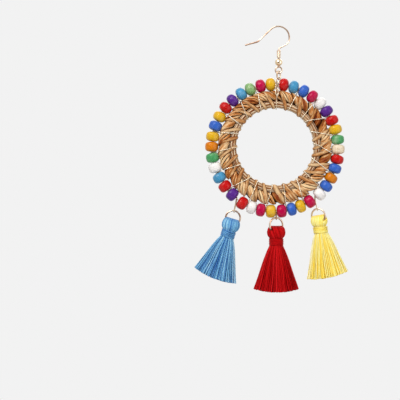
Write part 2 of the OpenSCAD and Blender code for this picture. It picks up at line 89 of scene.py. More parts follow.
# One row per run of beads: first and last angle, count, 1 if its first bead follows a lashing, how far its first and
# last bead sag as shares of a bead's width, how the sag bends between them, and by how many degrees its middle is
# pushed on
BEAD_RUNS = [
    (8.2, 136.6, 15, 0, 0.01, 0.2, 3, 2),
    (147.6, 174, 4, 1, 0.18, 0.17, 1, 0),
    (183.6, 210, 4, 1, 0.17, 0.21, 1, 0),
    (221.7, 356, 15, 1, 0.12, 0, 0.6, 0),
]
BEAD_COLOURS = (
    "red sky blue pink white purple red yellow green cream red blue orange blue white pink yellow blue pink "
    "yellow pink white red purple red sky white green orange yellow blue yellow red purple sky lime pink yellow"
).split()
# How far each lashing leans over the ring, in degrees
LASH_LEANS = [-2, 1.5, -10, -11, -11, -6.5, -1.5, -5.5, -2, -4, 1.5, -8, -3, 4, 5, -1.5, -6.5, -2.5, 0]
# Angle where each strap reaches the inner edge, and its width as a share of the usual one
STRAPS = [
    (16, 1), (37, 1.1), (57, 1), (81, 1.1), (93, 0.8), (103, 1), (118, 1), (129, 0.9), (141, 1), (155, 1.1),
    (167, 1.35), (181, 1.35), (197, 1.1), (209, 1), (222, 1), (235, 1), (245, 0.8), (257, 1), (270, 1.05),
    (283, 1), (296, 0.95), (309, 1.1), (322, 1), (335, 1.05), (347, 0.9), (358, 1),
]
STRAP_W, STRAP_LEAN = 1.5, 10.5
# How far a leaf runs round the ring while it crosses the roll, at angles round the ring
SLANT_ANGLES = [0, 50, 100, 150, 200, 250, 300, 330, 360]
SLANTS = [14, 12, 11, 10.5, 9.5, 12, 16, 17, 14]
# One row per tassel: colour, gap angle, link length, lean, tilt, link turn, ring turn, the skirt's length and
# width as shares, the head's size and rise in its ring as shares, how much longer the skirt's right side is cut,
# the slant of the head's threads, and how far the binding's turns cross, which also sets their painted shade
TASSELS = [
    ("blue", 216.3, 6.5, -11, -17, 6, 0, 0.905, 1, 1, 0, 0.035, 0.08, 0.34),
    ("red", 178.8, 4.2, 0, 0, 8, 24, 0.98, 1, 1, 0, 0, 0.45, 0.05),
    ("yellow", 142, 6.05, 11, 9, -3, -28, 0.95, 0.93, 0.91, 0.09, -0.02, -0.05, 0.12),
]


def rad(a):
    return np.asarray(a, float) * pi / 180


def unit(v):
    return v / np.maximum(np.linalg.norm(v, axis=-1, keepdims=True), 1e-9)


def joined(*parts):
    """Points of their coordinates."""
    return np.stack(parts, -1)


def circle(count):
    """Even angles once round."""
    return np.linspace(0, 2 * pi, count, endpoint=False)


def lengths(path):
    """Length run so far at each point of a path."""
    return np.concatenate([[0], np.cumsum(np.linalg.norm(np.diff(path, axis=0), axis=1))])


def lengths_round(path):
    """The same for a closed path, with its whole length last."""
    run = lengths(path)
    return np.append(run, run[-1] + np.linalg.norm(path[0] - path[-1]))


def add(name, data):
    """A new object in the scene."""
    thing = bpy.data.objects.new(name, data)
    bpy.context.scene.collection.objects.link(thing)
    return thing


# ---------- meshes under construction ----------
class Shape:
    """Grids of quads with UVs in millimetres (along, across) and two values a vertex: tint, and how much painted
    shade darkens its colour.
    """

    def __init__(self):
        self.verts, self.quads, self.uvs, self.tints, self.edges, self.count = [], [], [], [], [], 0

    def grid(self, points, wrap_rows=False, tint=0.5, edge=0.0):
        """Rows of points, each closed on itself; wrap_rows closes the last row to the first too."""
        rows, cols = points.shape[:2]
        along, across = lengths_round(points.mean(axis=1)), lengths_round(points[rows // 2])
        i, k = np.meshgrid(np.arange(rows if wrap_rows else rows - 1), np.arange(cols), indexing="ij")
        i2, k2 = i + 1, k + 1
        quads = joined(i * cols + k, i * cols + k2 % cols, i2 % rows * cols + k2 % cols, i2 % rows * cols + k)
        uv = np.stack([joined(along[a], across[b]) for a, b in ((i, k), (i, k2), (i2, k2), (i2, k))], -2)
        quads, uv = quads.reshape(-1, 4), uv.reshape(-1, 4, 2)
        flat = points.reshape(-1, 3)
        p = flat[quads] - flat.mean(axis=0)
        inside_out = (p[:, 0] * np.cross(p[:, 1] - p[:, 0], p[:, 2] - p[:, 0])).sum() < 0
        if inside_out:
            quads, uv = quads[:, ::-1], uv[:, ::-1]
        self.verts.append(flat)
        self.quads.append(quads + self.count)
        self.uvs.append(uv)
        for values, value in ((self.tints, tint), (self.edges, edge)):
            values.append(np.broadcast_to(value, (rows, cols)).ravel())
        self.count += len(flat)

    def arrays(self):
        return np.concatenate(self.verts), np.concatenate(self.quads)

    def build(self, name, material, body, node=None, slot=None):
        """The piece, riding on a body, in place of the node that is hidden, if one is given. The slot argument is not
        used.
        """
        verts, quads = self.arrays()
        mesh = bpy.data.meshes.new(name)
        mesh.vertices.add(len(verts))
        mesh.vertices.foreach_set("co", (verts * MM).astype(np.float32).ravel())
        mesh.loops.add(quads.size)
        mesh.loops.foreach_set("vertex_index", quads.astype(np.int32).ravel())
        mesh.polygons.add(len(quads))
        mesh.polygons.foreach_set("loop_start", np.arange(0, quads.size, 4, dtype=np.int32))
        mesh.polygons.foreach_set("use_smooth", np.ones(len(quads), dtype=bool))
        uv = mesh.uv_layers.new(name="UVMap")
        uv.data.foreach_set("uv", np.concatenate(self.uvs).astype(np.float32).ravel())
        for label, values in (("tint", self.tints), ("edge", self.edges)):
            layer = mesh.attributes.new(label, "FLOAT", "POINT")
            layer.data.foreach_set("value", np.concatenate(values).astype(np.float32))
        mesh.update(calc_edges=True)
        mesh.validate()
        mesh.materials.append(material)
        piece = add(name, mesh)
        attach(piece, body)
        if node:
            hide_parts(node)


# The rings of a wire's end cap: their radius and their reach past its end, as shares of the wire's radius
ROUND_STEPS = np.array([0.02, 0.5, 0.85, 1.0])
ROUND_CAP = ROUND_STEPS, np.sqrt(1 - ROUND_STEPS**2)
FLAT_CAP = np.array([0.02, 1.0]), np.array([0.05, 0.0])
CAP_INSET = 0.15
# Painted shade starts where a tube's surface faces less than this far outwards
CREST = 0.85


def directions(path, closed):
    """Unit directions along a path."""
    if closed:
        return unit(np.roll(path, -1, axis=0) - np.roll(path, 1, axis=0))
    return unit(np.gradient(path, axis=0))


def frame_along(path, ref, closed):
    """Direction, and two directions across it, along a path."""
    t = directions(path, closed)
    u = unit(np.cross(t, ref))
    return t, u, np.cross(u, t)


def ends_repeated(rows, more):
    return np.concatenate([np.repeat(rows[:1], more, 0), rows, np.repeat(rows[-1:], more, 0)])


def tube(shape, path, radius, ref, sides, closed=False, rounded=False, tint=0.5, edge=0.0, out=None):
    """A round wire or thread through a path; radius is one value or one a point, and ref any direction across the
    path. With out, the directions that face outwards, its flanks are given more painted shade than its crest."""
    path = np.array(path, float)
    radius = np.broadcast_to(radius, len(path))
    t, u, v = frame_along(path, ref, closed)
    if not closed:
        steps, reach = ROUND_CAP if rounded else FLAT_CAP
        head = [path[0] - t[0] * radius[0] * b for b in reach]
        tail = [path[-1] + t[-1] * radius[-1] * b for b in reach[::-1]]
        path[0] += t[0] * radius[0] * CAP_INSET
        path[-1] -= t[-1] * radius[-1] * CAP_INSET
        path = np.concatenate([head, path, tail])
        radius = np.concatenate([radius[0] * steps, radius, radius[-1] * steps[::-1]])
        u, v = ends_repeated(u, len(steps)), ends_repeated(v, len(steps))
        if out is not None:
            out = ends_repeated(out, len(steps))
    a = np.arange(sides) * 2 * pi / sides
    ring = np.cos(a)[None, :, None] * u[:, None] + np.sin(a)[None, :, None] * v[:, None]
    # Painted shade on the flanks that turn away from out
    if out is not None:
        facing = (ring * unit(out)[:, None]).sum(axis=-1)
        edge = np.clip(edge + np.clip((CREST - facing) / CREST, 0, 1), 0, 1)
    shape.grid(path[:, None] + ring * radius[:, None, None], wrap_rows=closed, tint=tint, edge=edge)


def smooth_loop(p, count):
    """Even samples of a smooth closed curve through (radius, depth) points."""
    t = np.linspace(0, 1, 24, endpoint=False)[:, None]
    dense = []
    for i in range(len(p)):
        a, b, c, d = (p[(i + k) % len(p)] for k in (-1, 0, 1, 2))
        curve = 2 * b + (c - a) * t + (2 * a - 5 * b + 4 * c - d) * t**2 + (3 * b - a - 3 * c + d) * t**3
        dense.append(0.5 * curve)
    dense = np.concatenate(dense + [p[:1]])
    run = lengths(dense)
    at = np.linspace(0, run[-1], count, endpoint=False)
    return np.stack([np.interp(at, run, dense[:, k]) for k in (0, 1)], -1)


def ripple(t, waves):
    """A smooth random curve of about unit height over t from 0 to 1, closed on itself."""
    out = np.zeros_like(t)
    for n in range(1, waves + 1):
        out += between(0.4, 1) / n**0.6 * np.sin(2 * pi * (n * t + CHANCE.rand()))
    return out / 1.6


def on_ring(angle, r, y):
    """Points in space at ring angles, clockwise from the top, radii and depths."""
    angle, r, y = np.broadcast_arrays(angle, r, y)
    return joined(RING_X + r * np.sin(rad(angle)), y, RING_Z + r * np.cos(rad(angle)))


def on_roll(u, off):
    """(radius, depth) points off the roll's section; u runs from its outer side over the front."""
    return joined(ROLL_MID_R + (ROLL_W / 2 + off) * np.cos(rad(u)), -(ROLL_T / 2 + off) * np.sin(rad(u)))


def on_band(u, off):
    """The same for the straw bundle's flatter section."""
    r = BAND_W / 2 + off
    flat = -np.tanh(4 * np.sin(rad(u))) * (BAND_T - BAND_W) / 2
    return joined(BAND_MID_R + r * np.cos(rad(u)), flat - r * np.sin(rad(u)))


# ---------- materials ----------
def linear(r, g, b):
    """Linear colour of 0 to 255 screen values."""
    return tuple(((c / 255 + 0.055) / 1.055) ** 2.4 if c > 10 else c / 255 / 12.92 for c in (r, g, b)) + (1.0,)


def shaded(colour, share, more=0.0):
    """A colour times a share, plus a little white."""
    return tuple(min(1.0, c * share + more) for c in colour[:3]) + (1,)


def grey(v):
    return (v, v, v, 1)


class Nodes:
    """Short calls that add nodes to a tree."""

    def __init__(self, tree):
        self.tree = tree

    def node(self, kind, links=(), **settings):
        n = self.tree.nodes.new(kind)
        for key, value in settings.items():
            setattr(n, key, value)
        for socket, source in links:
            if hasattr(source, "links"):
                self.tree.links.new(source, n.inputs[socket])
            else:
                n.inputs[socket].default_value = source
        return n

    def ramp(self, fac, *stops):
        n = self.node("ShaderNodeValToRGB", [("Fac", fac)])
        for _ in stops[2:]:
            n.color_ramp.elements.new(0.5)
        for element, (at, colour) in zip(n.color_ramp.elements, stops):
            element.position = at
            element.color = colour
        return n.outputs["Color"]


class Paint(Nodes):
    """A node material with a Principled shader."""

    def __init__(self, name, **sockets):
        self.mat = bpy.data.materials.new(name)
        self.mat.use_nodes = True
        super().__init__(self.mat.node_tree)
        self.bsdf = self.tree.nodes["Principled BSDF"]
        for key, value in sockets.items():
            self.bsdf.inputs[key.replace("_", " ")].default_value = value

    def scaled(self, at, scale):
        return self.node("ShaderNodeMapping", [("Vector", at), ("Scale", scale)]).outputs["Vector"]

    def uv(self, along, across):
        """UV coordinates in millimetres times a scale."""
        return self.scaled(self.node("ShaderNodeUVMap", uv_map="UVMap").outputs["UV"], (along, across, 1))

    def space(self, scale):
        """Object coordinates in millimetres times a scale."""
        s = scale / MM
        return self.scaled(self.node("ShaderNodeTexCoord").outputs["Object"], (s, s, s))

    def noise(self, vector, detail, roughness=0.55, tint=None):
        """Noise; with tint it differs from thread to thread and from bead to bead."""
        links = [("Vector", vector), ("Scale", 1.0), ("Detail", detail), ("Roughness", roughness)]
        if tint is None:
            return self.node("ShaderNodeTexNoise", links).outputs["Fac"]
        links.append(("W", self.math("MULTIPLY", tint, 37.0)))
        return self.node("ShaderNodeTexNoise", links, noise_dimensions="4D").outputs["Fac"]

    def value(self, label):
        return self.node("ShaderNodeAttribute", attribute_name=label).outputs["Fac"]

    def math(self, operation, a, b=0.0, clamp=False):
        return self.node("ShaderNodeMath", [(0, a), (1, b)], operation=operation, use_clamp=clamp).outputs[0]

    def mask(self, fac, start, end, top=1.0):
        """Black up to start, and grey of a height from end on."""
        return self.ramp(fac, (start, grey(0)), (end, grey(top)))

    def mix(self, fac, a, b):
        return self.node("ShaderNodeMix", [(0, fac), (6, a), (7, b)], data_type="RGBA").outputs[2]

    def spread(self, fac, low, high):
        """fac from 0 to 1 spread over low to high."""
        return self.node("ShaderNodeMapRange", [("Value", fac), ("To Min", low), ("To Max", high)]).outputs["Result"]

    def drive(self, socket, source):
        self.tree.links.new(source, self.bsdf.inputs[socket])

    def bump(self, height, depth_mm, strength, after=None):
        links = [("Height", height), ("Distance", depth_mm * MM), ("Strength", strength)]
        if after is not None:
            links.append(("Normal", after))
        return self.node("ShaderNodeBump", links).outputs["Normal"]


def metal(name, light, deep, rough):
    """Polished plated wire, a little duller and deeper in tone from place to place."""
    p = Paint(name, Metallic=1.0, IOR=1.5)
    cloud = p.noise(p.space(0.22), 2)
    haze = p.noise(p.space(0.7), 3, 0.6)
    p.drive("Base Color", p.ramp(cloud, (0.38, light), (0.62, deep)))
    p.drive("Roughness", p.spread(haze, rough - 0.06, rough + 0.08))
    p.drive("Normal", p.bump(haze, 0.002, 0.2))
    return p.mat


def raffia(name, pale, mid, deep, dark, rough=0.5):
    """Dyed palm leaf: long fine fibres; painted shade darkens flanks, grooves and underside to orange-brown, crests
    stay paler.
    """
    p = Paint(name, IOR=1.45, Specular_IOR_Level=0.3, Specular_Tint=(1, 0.82, 0.62, 1))
    tint, edge = p.value("tint"), p.value("edge")
    fibre = p.noise(p.uv(0.22, 5.0), 4, 0.62, tint)
    broad = p.noise(p.uv(0.35, 1.3), 2, 0.5, tint)
    streak = p.math("ADD", p.math("MULTIPLY", fibre, 0.55), p.math("MULTIPLY", broad, 0.45))
    tone = p.math("ADD", streak, p.spread(tint, -0.16, 0.16))
    colour = p.ramp(tone, (0.37, deep), (0.48, mid), (0.59, pale))
    # Painted shade: the dark colour is mixed in where shade would fall
    p.drive("Base Color", p.mix(p.math("POWER", edge, 1.5, clamp=True), colour, dark))
    p.drive("Roughness", p.spread(fibre, rough - 0.12, rough + 0.15))
    # Where shade is painted, the specular is taken away too
    p.drive("Specular IOR Level", p.spread(edge, 0.34, 0.03))
    p.drive("Normal", p.bump(fibre, 0.09, 0.7, p.bump(broad, 0.18, 0.6)))
    return p.mat


def painted_bead(name, colour, patches, dents):
    """Glossy paint on turned wood: slight pooling, faint turning marks, dents, patches that show the wood, and
    painted shade in the bore.
    """
    p = Paint(name, IOR=1.5, Coat_Weight=0.14, Coat_Roughness=0.14, Specular_IOR_Level=0.3,
              Specular_Tint=shaded(colour, 0.55, 0.3))
    tint = p.value("tint")
    cloud = p.noise(p.space(0.32), 3, 0.55, tint)
    fine = p.noise(p.space(2.2), 4, 0.6, tint)
    turning = p.noise(p.uv(3.2, 0.25), 3, 0.5, tint)
    thin = p.noise(p.uv(0.3, 0.5), 2, 0.5, tint)
    body = p.ramp(cloud, (0.3, shaded(colour, 0.9)), (0.5, colour), (0.75, shaded(colour, 1.08, 0.008)))
    body = p.mix(p.spread(p.mask(thin, 0.5, 0.7), 0.0, patches), body, WEAR)
    body = p.mix(p.mask(fine, 0.66, 0.8, 0.28), body, WEAR)
    # Painted shade: darker paint down into the bore
    p.drive("Base Color", p.mix(p.math("POWER", p.value("edge"), 3, clamp=True), body, shaded(colour, 0.35)))
    p.drive("Roughness", p.spread(fine, 0.2, 0.34))
    p.drive("Normal", p.bump(turning, 0.27 * dents, 0.3, p.bump(cloud, dents, 0.3)))
    return p.mat


def bare_bead(name, pale, mid, dark):
    """Waxed bare wood with speckled grain."""
    p = Paint(name, IOR=1.48)
    tint = p.value("tint")
    grain = p.noise(p.uv(0.5, 2.4), 4, 0.65, tint)
    specks = p.noise(p.space(1.6), 3, 0.7, tint)
    body = p.ramp(grain, (0.3, mid), (0.62, pale))
    p.drive("Base Color", p.mix(p.mask(specks, 0.58, 0.68, 0.85), body, dark))
    p.drive("Roughness", p.spread(grain, 0.4, 0.6))
    p.drive("Normal", p.bump(grain, 0.05, 0.6))
    return p.mat


def silk(name, pale, mid, deep):
    """Loosely twisted silky floss: fine slanted plies, soft sheen, painted shade on flanks and in the bundle's
    middle.
    """
    p = Paint(name, IOR=1.45, Specular_IOR_Level=0.3, Specular_Tint=pale, Sheen_Weight=0.12, Sheen_Tint=deep)
    tint, edge = p.value("tint"), p.value("edge")
    at = p.node("ShaderNodeSeparateXYZ", [("Vector", p.uv(1, 1))]).outputs
    slant = p.math("ADD", p.math("MULTIPLY", at["X"], 4.4), p.math("MULTIPLY", at["Y"], 8.9))
    plies = p.spread(p.math("SINE", slant), 0.0, 1.0)
    fluff = p.noise(p.uv(0.16, 6.0), 3, 0.6, tint)
    tone = p.math("ADD", p.math("MULTIPLY", fluff, 0.6), p.spread(tint, 0.05, 0.4))
    colour = p.ramp(tone, (0.32, deep), (0.5, mid), (0.68, pale))
    # Painted shade: the deep colour is mixed in where shade would fall
    p.drive("Base Color", p.mix(p.math("MULTIPLY", edge, 0.9, clamp=True), colour, shaded(deep, 0.92)))
    p.drive("Roughness", p.spread(fluff, 0.42, 0.62))
    p.drive("Normal", p.bump(plies, 0.02, 0.35, p.bump(fluff, 0.03, 0.4)))
    return p.mat


ROSE = metal("rose_gold", linear(230, 212, 192), linear(164, 128, 104), 0.26)
BALL_GOLD = metal("ball_gold", linear(248, 234, 206), linear(218, 188, 148), 0.2)
PALE_GOLD = metal("pale_gold", linear(236, 222, 198), linear(188, 156, 124), 0.22)
CHAIN_GOLD = metal("chain_gold", linear(228, 210, 182), linear(166, 132, 96), 0.3)
THIN_WIRE = metal("thin_wire", linear(244, 236, 218), linear(222, 206, 178), 0.36)
LEAF = raffia("raffia_leaf", linear(229, 197, 150), linear(189, 117, 50), linear(118, 43, 4), linear(46, 9, 0))
STRAP = raffia("raffia_strap", linear(212, 178, 134), linear(184, 130, 76), linear(146, 78, 30), linear(84, 30, 4))
# A filling inside the roll, darker than any leaf: painted shade where it shows between the leaves
SHADE_CORE = raffia("raffia_shade_core", linear(96, 46, 14), linear(72, 32, 8), linear(48, 19, 4), linear(28, 10, 2), 0.7)
STRAW = raffia("straw", linear(214, 192, 162), linear(176, 130, 84), linear(116, 62, 26), linear(44, 12, 0))
WEAR = linear(236, 226, 206)
# Each paint's colour, how strongly its patches show the wood, and the depth of its dents in millimetres
PAINTS = {
    "red": ((182, 12, 12), 0.04, 0.055), "sky": ((66, 138, 178), 0.12, 0.055), "blue": ((48, 92, 178), 0.04, 0.055),
    "pink": ((175, 2, 64), 0.04, 0.055), "white": ((226, 222, 219), 0.04, 0.015),
    "purple": ((80, 34, 126), 0.04, 0.055), "yellow": ((209, 163, 26), 0.1, 0.055),
    "green": ((68, 146, 88), 0.2, 0.055), "orange": ((199, 113, 3), 0.03, 0.055),
    "lime": ((122, 162, 102), 0.35, 0.055),
}
BEAD_MATERIALS = {key: painted_bead("paint_" + key, linear(*colour), patches, dents)
                  for key, (colour, patches, dents) in PAINTS.items()}
BEAD_MATERIALS["cream"] = bare_bead("paint_cream", linear(230, 216, 192), linear(208, 182, 146), linear(112, 78, 56))
FLOSS = {
    "blue": silk("blue_floss", linear(200, 234, 242), linear(121, 182, 215), linear(14, 79, 157)),
    "red": silk("red_floss", linear(218, 34, 38), linear(190, 18, 21), linear(119, 3, 4)),
    "yellow": silk("yellow_floss", linear(248, 253, 230), linear(238, 232, 136), linear(244, 201, 14)),
}


# ---------- ear hook ----------
BEND_STEPS, RUN_STEPS = 24, 8
WIRE_SIDES, COIL_SIDES, COIL_POINTS = 16, 10, 260
LOOP_TURN, LOOP_OFFSET = 352, 0.03
BALL_ROWS, BALL_COLS, BALL_LATITUDE, BALL_DIMPLE = 32, 48, 73, 0.25


def toward(angle):
    """Unit direction in a plane at an angle in degrees."""
    return np.array([cos(rad(angle)), sin(rad(angle))])


def bend_path(start, heading, rows):
    """Points of a wire bent row by row, each with a radius, a turn and a straight stretch, as in the CAD."""
    p, out = np.array(start, float), []
    for share, turn, go in rows:
        r, side = share * HOOK_ARC_R, math.copysign(1, turn)
        c = p + r * toward(heading + 90 * side)
        out += [c + r * toward(heading - 90 * side + turn * step / BEND_STEPS) for step in range(1, BEND_STEPS + 1)]
        heading += turn
        p = out[-1]
        for step in range(1, RUN_STEPS + 1 if go else 1):
            out.append(p + go * HOOK_ARC_R * step / RUN_STEPS * toward(heading))
        p = out[-1]
    return out


def oval(r, straight, count):
    """Points of a flat oval: two half circles with a straight stretch between them."""
    a = circle(count) + pi / count
    return r * np.cos(a), r * np.sin(a) + np.where(np.sin(a) > 0, straight / 2, -straight / 2)


def oval_link(centre, width, wire, length, turn, count):
    """Path of an upright link's wire, turned about Z, and the direction across the link."""
    x, z = oval((width - wire) / 2, length - width, count)
    t = rad(turn)
    path = joined(x * cos(t), x * sin(t), z) + centre
    return path, (-sin(t), cos(t), 0)


def build_hook():
    top = (0, EAR_WIRE_D / 2)
    ball_low = BALL_Z - BALL_D / 2
    flat = bend_path(top, 180, TAIL_BENDS)[::-1] + [np.array(top)] + bend_path(top, 0, FRONT_BENDS)
    flat.append(np.array([STEM_X, ball_low]))
    wire = Shape()
    tube(wire, [(x, 0, z) for x, z in flat], EAR_WIRE_D / 2, Y_AXIS, WIRE_SIDES, rounded=True)
    loop_r = (LOOP_D - EAR_WIRE_D) / 2
    a = np.linspace(rad(90), rad(90 + LOOP_TURN), 64)
    loop = joined(STEM_X + loop_r * np.cos(a), LOOP_OFFSET * np.sin(a / 2), LOOP_Z + loop_r * np.sin(a))
    tube(wire, loop, EAR_WIRE_D / 2, Y_AXIS, WIRE_SIDES, rounded=True)
    neck = [(STEM_X, 0, LOOP_Z + loop_r - 0.1), (STEM_X, 0, ball_low + 0.4)]
    tube(wire, neck, EAR_WIRE_D / 2, Y_AXIS, WIRE_SIDES)
    wire.build("hook_wire", ROSE, "hook", "ear_wire")

    coil = Shape()
    turns = (COIL_H - COIL_WIRE_D) / COIL_PITCH + 0.2
    s = np.linspace(0, 1, COIL_POINTS)
    bore = EAR_WIRE_D / 2 + SEAT_GAP
    r, a = bore + COIL_WIRE_D / 2, s * turns * 2 * pi
    z = COIL_TOP_Z - COIL_WIRE_D / 2 - s * (COIL_H - COIL_WIRE_D)
    path = joined(STEM_X + r * np.cos(a), r * np.sin(a), z)
    tube(coil, path, COIL_WIRE_D / 2, (0, 0, 1), COIL_SIDES, rounded=True)
    coil.build("coil_winding", ROSE, "hook", "hook_coil")

    ball = Shape()
    lat = np.linspace(rad(-BALL_LATITUDE), rad(BALL_LATITUDE), BALL_ROWS)
    high = BALL_D / 2 * np.sin(lat)
    high = np.concatenate([[high[0] + BALL_DIMPLE], high, [high[-1] - BALL_DIMPLE]])[:, None]
    r = np.concatenate([[bore], BALL_D / 2 * np.cos(lat), [bore]])[:, None]
    a = circle(BALL_COLS)
    ball.grid(joined(STEM_X + r * np.cos(a), r * np.sin(a), BALL_Z + high + 0 * a))
    ball.build("hook_bead", BALL_GOLD, "hook", "hook_ball")


def build_links():
    link = Shape()
    path, normal = oval_link((STEM_X, 0, TOP_LINK_Z), TOP_LINK_W, TOP_LINK_WIRE, TOP_LINK_L, TOP_LINK_TURN, 72)
    tube(link, path, TOP_LINK_WIRE / 2, normal, 14, closed=True)
    link.build("oval_link", PALE_GOLD, "link", "top_link")

    chain = Shape()
    for turn, upper, lower in zip(CHAIN_TURNS, np.array(CHAIN_POINTS), np.array(CHAIN_POINTS[1:])):
        along = unit(upper - lower)
        side = unit(np.cross(Y_AXIS, along))
        across = cos(rad(turn)) * side + sin(rad(turn)) * np.cross(along, side)
        r = (CHAIN_LINK_W - CHAIN_WIRE) / 2
        half = np.linalg.norm(upper - lower) / 2 + (CHAIN_WIRE + LINK_GAP) / 2 - r
        x, y = oval(r, 2 * half, 48)
        path = (upper + lower) / 2 + x[:, None] * across + y[:, None] * along
        tube(chain, path, CHAIN_WIRE / 2, np.cross(across, along), 12, closed=True)
    chain.build("chain_links", CHAIN_GOLD, "drop", "top_chain")


# ---------- raffia ring ----------
RIBBON_COLS, RIBBON_UNDER, RIBBON_THICK = 15, 6, 0.16
PLY_SIDES, PLY_HALF_W, PLY_HALF_T = 12, 0.5, 0.36
LEAF_POINTS, FOLDED_LEAVES, LEAF_SPLIT_GAP, LEAF_AHEAD = 44, 0.42, 15.5, 8
PLY_PITCH, PLY_THICK = 0.86, 1.08
STRAP_POINTS, STRAW_COUNT, STRAW_POINTS, STRAW_THICK = 84, 24, 200, 0.31
SWELL_SHARE = 0.8


def sideways(path, up):
    """Directions across a closed path: to its side, and outwards near up."""
    t = directions(path, True)
    side = unit(np.cross(t, up))
    return side, unit(np.cross(side, t))


def laid(path, x, y, side, up):
    """Points x sideways and y outwards of each point of a path."""
    return path[:, None] + x[..., None] * side[:, None] + y[..., None] * up[:, None]


def ribbon(shape, path, up, width, lift, crown, pleats, tilt, tint, edge_ends):
    """A closed loop of folded leaf along a path: up points outwards; width, lift and tilt are per point, pleats are
    rows of depth and number, and the last value is the painted shade it gets where it faces sideways."""
    side, up = sideways(path, up)
    s, s_back = np.linspace(-1, 1, RIBBON_COLS), np.linspace(0.9, -0.9, RIBBON_UNDER)
    around = np.linspace(0, 1, len(path), endpoint=False)
    fold = np.zeros((len(path), RIBBON_COLS))
    for depth, number in pleats:
        phase = CHANCE.rand() + 0.12 * ripple(around, 3)
        saw = np.abs((s * number / 2 + phase[:, None]) % 1 - 0.5) * 2 - 0.5
        fold += depth * saw * (0.7 + 0.5 * ripple(around, 4))[:, None]
    lift, tilt = lift[:, None], tilt[:, None]
    bulge = crown * (1 - np.abs(s) ** 2.4) + tilt * s
    ragged = 1 + 0.05 * ripple(around, 9)
    high = np.concatenate([lift + bulge + fold * (1 - s**4), lift - RIBBON_THICK + tilt * s_back], axis=1)
    wide = np.concatenate([s, s_back]) * (width * ragged / 2)[:, None]
    # Painted shade towards its sides, in the pleats' valleys and all over its underside
    groove = np.clip(-fold / max(depth for depth, _ in pleats), 0, 1) ** 1.5 * 0.85
    edge = np.concatenate([np.abs(s) ** 2 + groove, np.ones((len(path), RIBBON_UNDER))], axis=1)
    edge = np.clip(edge + edge_ends * (1 - np.abs(up[:, 1:2])), 0, 1)
    shape.grid(laid(path, wide, high, side, up), wrap_rows=True, tint=tint, edge=edge)


def plies(shape, path, up, spread, count, thick, lift, arch, tint):
    """A bundle of folded leaf: flattened plies side by side along a closed path, each with painted shade on its
    flanks.
    """
    side, up = sideways(path, up)
    around = np.arange(len(path)) / len(path)
    a = np.arange(PLY_SIDES) * 2 * pi / PLY_SIDES + pi / PLY_SIDES
    x, y = np.cos(a) * PLY_HALF_W, np.sin(a) * PLY_HALF_T
    order = CHANCE.permutation(count)
    for j in range(count):
        at = (j - (count - 1) / 2) / (count - 1)
        across = at * spread + 0.1 * ripple(around, 3)
        high = lift + arch * (1 - (2 * at) ** 2) + 0.16 * (order[j] / count - 0.5) + 0.07 * ripple(around, 3)
        wide = (thick * between(0.9, 1.15) * (1 + 0.08 * ripple(around, 4)))[:, None]
        roll = (-0.5 * at + between(-0.2, 0.2) + 0.15 * ripple(around, 2))[:, None]
        cx, cy = x * np.cos(roll) - y * np.sin(roll), x * np.sin(roll) + y * np.cos(roll)
        points = laid(path, across[:, None] + cx * wide, high[:, None] + cy * wide, side, up)
        # More painted shade on the outer flank of the outermost plies, where one leaf meets the next
        flank = np.clip(cx / PLY_HALF_W * np.sign(at), 0, 1) * (2 * at) ** 4 * 0.5
        edge = np.clip((0.86 - cy / PLY_HALF_T) / 0.6 + flank, 0, 1)
        shape.grid(points, wrap_rows=True, tint=np.clip(tint + between(-0.22, 0.22), 0, 1), edge=edge)


def outward(section):
    """Unit directions out of a closed section of (radius, depth) points."""
    t = directions(section, True)
    out = joined(-t[:, 1], t[:, 0])
    return out if ((section - section.mean(axis=0)) * out).sum() > 0 else -out


def turned(flat, angle):
    """(radius, depth) directions at ring angles, as directions in space."""
    a = rad(angle)
    return joined(flat[:, 0] * np.sin(a), flat[:, 1], flat[:, 0] * np.cos(a))


def swell(angle, r):
    """How far the roll's outer side is pushed out at an angle, to reach the beads where their wire sags."""
    share = np.clip((r - ROLL_MID_R) / (ROLL_W / 2), 0, 1)
    low = np.interp(angle % 360, SAG_ANGLES, SAG_DEPTHS)
    return share * low * SWELL_SHARE


def swollen(angle, section):
    """Points of a (radius, depth) section at ring angles, pushed out like the roll."""
    r, y = section.T
    return on_ring(angle, r + swell(angle, r), y)


